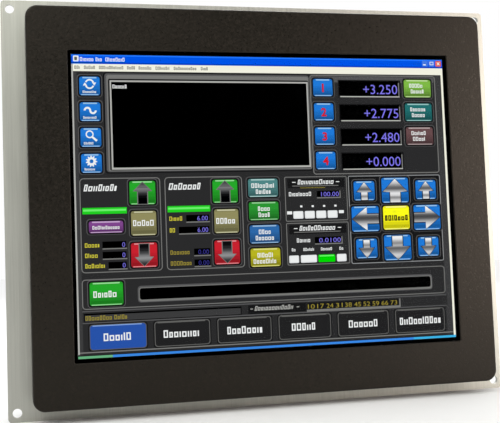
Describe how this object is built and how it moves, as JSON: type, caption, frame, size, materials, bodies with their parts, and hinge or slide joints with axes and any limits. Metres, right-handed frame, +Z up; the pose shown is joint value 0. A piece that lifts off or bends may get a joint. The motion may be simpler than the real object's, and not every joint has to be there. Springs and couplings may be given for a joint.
{
  "type": "industrial touch panel",
  "caption": "Panel-mount industrial touch display: steel mounting plate with corner holes, raised black bezel around a 4:3 screen, ventilated rear housing with connectors.",
  "frame": {"origin": "centre of the mounting plate's rear face, which bears on the cabinet", "axes": "+X to the right as the operator sees it, +Y into the cabinet, +Z up"},
  "size_m": [0.407, 0.0845, 0.322],
  "materials": {
    "brushed_plate": "vertical brushed grain, satin",
    "gasket_rubber": "closed-cell foam, matte",
    "bezel_black": "fine moulded texture, satin",
    "clear_glass": "polished, clear",
    "black_ink": "printed, matte",
    "film_amber": "flexible printed film",
    "module_steel": "stamped, satin",
    "display_glass": "anti-glare polariser over lit cell",
    "white_plastic": "moulded, matte",
    "plain_aluminium": "extruded",
    "circuit_green": "solder mask over glass-fibre board",
    "zinc_steel": "zinc plated",
    "brass_parts": "turned",
    "black_parts": "moulded, matte",
    "cable_grey": "ribbon insulation",
    "housing_paint": "fine powder coat, satin",
    "plated_shell": "nickel plated",
    "blue_insert": "moulded, matte",
    "terminal_green": "moulded, matte",
    "rocker_black": "moulded, gloss",
    "key_grey": "moulded, matte"
  },
  "bodies": {
    "panel": {"backlight_board": "circuit_green", "backlight_board_parts": "black_parts", "backlight_cable": "cable_grey", "bezel": "bezel_black", "bezel_screws": "zinc_steel", "bezel_seal": "gasket_rubber", "board_screws": "zinc_steel", "board_standoffs": "brass_parts", "board_tray": "zinc_steel", "bracket_screws": "zinc_steel", "cover_screws": "zinc_steel", "dc_terminal": "terminal_green", "diffuser_sheets": "white_plastic", "display_cable": "cable_grey", "earth_nut": "brass_parts", "earth_stud": "brass_parts", "housing": "housing_paint", "jack_posts": "zinc_steel", "key_board": "circuit_green", "key_screws": "zinc_steel", "key_standoffs": "brass_parts", "key_switches": "black_parts", "lcd_back_plate": "module_steel", "lcd_brackets": "zinc_steel", "lcd_cell": "display_glass", "lcd_front_frame": "module_steel", "lcd_support_frame": "white_plastic", "led_bars": "plain_aluminium", "light_guide": "white_plastic", "module_screws": "zinc_steel", "mounting_plate": "brushed_plate", "panel_gasket": "gasket_rubber", "power_board": "circuit_green", "power_board_parts": "black_parts", "rear_cover": "housing_paint", "serial_socket_insert": "black_parts", "serial_socket_shell": "plated_shell", "switch_housing": "black_parts", "terminal_screws": "zinc_steel", "timing_board": "circuit_green", "touch_board": "circuit_green", "touch_board_parts": "black_parts", "touch_border": "black_ink", "touch_glass": "clear_glass", "touch_tail": "film_amber", "tray_screws": "zinc_steel", "usb_socket_insert": "black_parts", "usb_socket_shell": "plated_shell", "vesa_inserts": "zinc_steel", "video_board": "circuit_green", "video_board_parts": "black_parts", "video_socket_insert": "blue_insert", "video_socket_shell": "plated_shell", "window_gasket": "gasket_rubber"},
    "key_1": {"key_cap_1": "key_grey"},
    "key_2": {"key_cap_2": "key_grey"},
    "key_3": {"key_cap_3": "key_grey"},
    "key_4": {"key_cap_4": "key_grey"},
    "key_5": {"key_cap_5": "key_grey"},
    "rocker": {"switch_rocker": "rocker_black"}
  },
  "joints": [
    {"name": "key_1_press", "type": "slide", "parent": "panel", "child": "key_1", "axis": [0, -1, 0], "range_m": [0, 0.0005], "stiffness_N_per_m": 3000, "springref_m": -0.0003},
    {"name": "key_2_press", "type": "slide", "parent": "panel", "child": "key_2", "axis": [0, -1, 0], "range_m": [0, 0.0005], "stiffness_N_per_m": 3000, "springref_m": -0.0003},
    {"name": "key_3_press", "type": "slide", "parent": "panel", "child": "key_3", "axis": [0, -1, 0], "range_m": [0, 0.0005], "stiffness_N_per_m": 3000, "springref_m": -0.0003},
    {"name": "key_4_press", "type": "slide", "parent": "panel", "child": "key_4", "axis": [0, -1, 0], "range_m": [0, 0.0005], "stiffness_N_per_m": 3000, "springref_m": -0.0003},
    {"name": "key_5_press", "type": "slide", "parent": "panel", "child": "key_5", "axis": [0, -1, 0], "range_m": [0, 0.0005], "stiffness_N_per_m": 3000, "springref_m": -0.0003},
    {"name": "power_rocker", "type": "hinge", "parent": "panel", "child": "rocker", "pos_m": [-0.082, 0.024, -0.1404], "axis": [0, 1, 0], "range_deg": [-16, 0]}
  ]
}
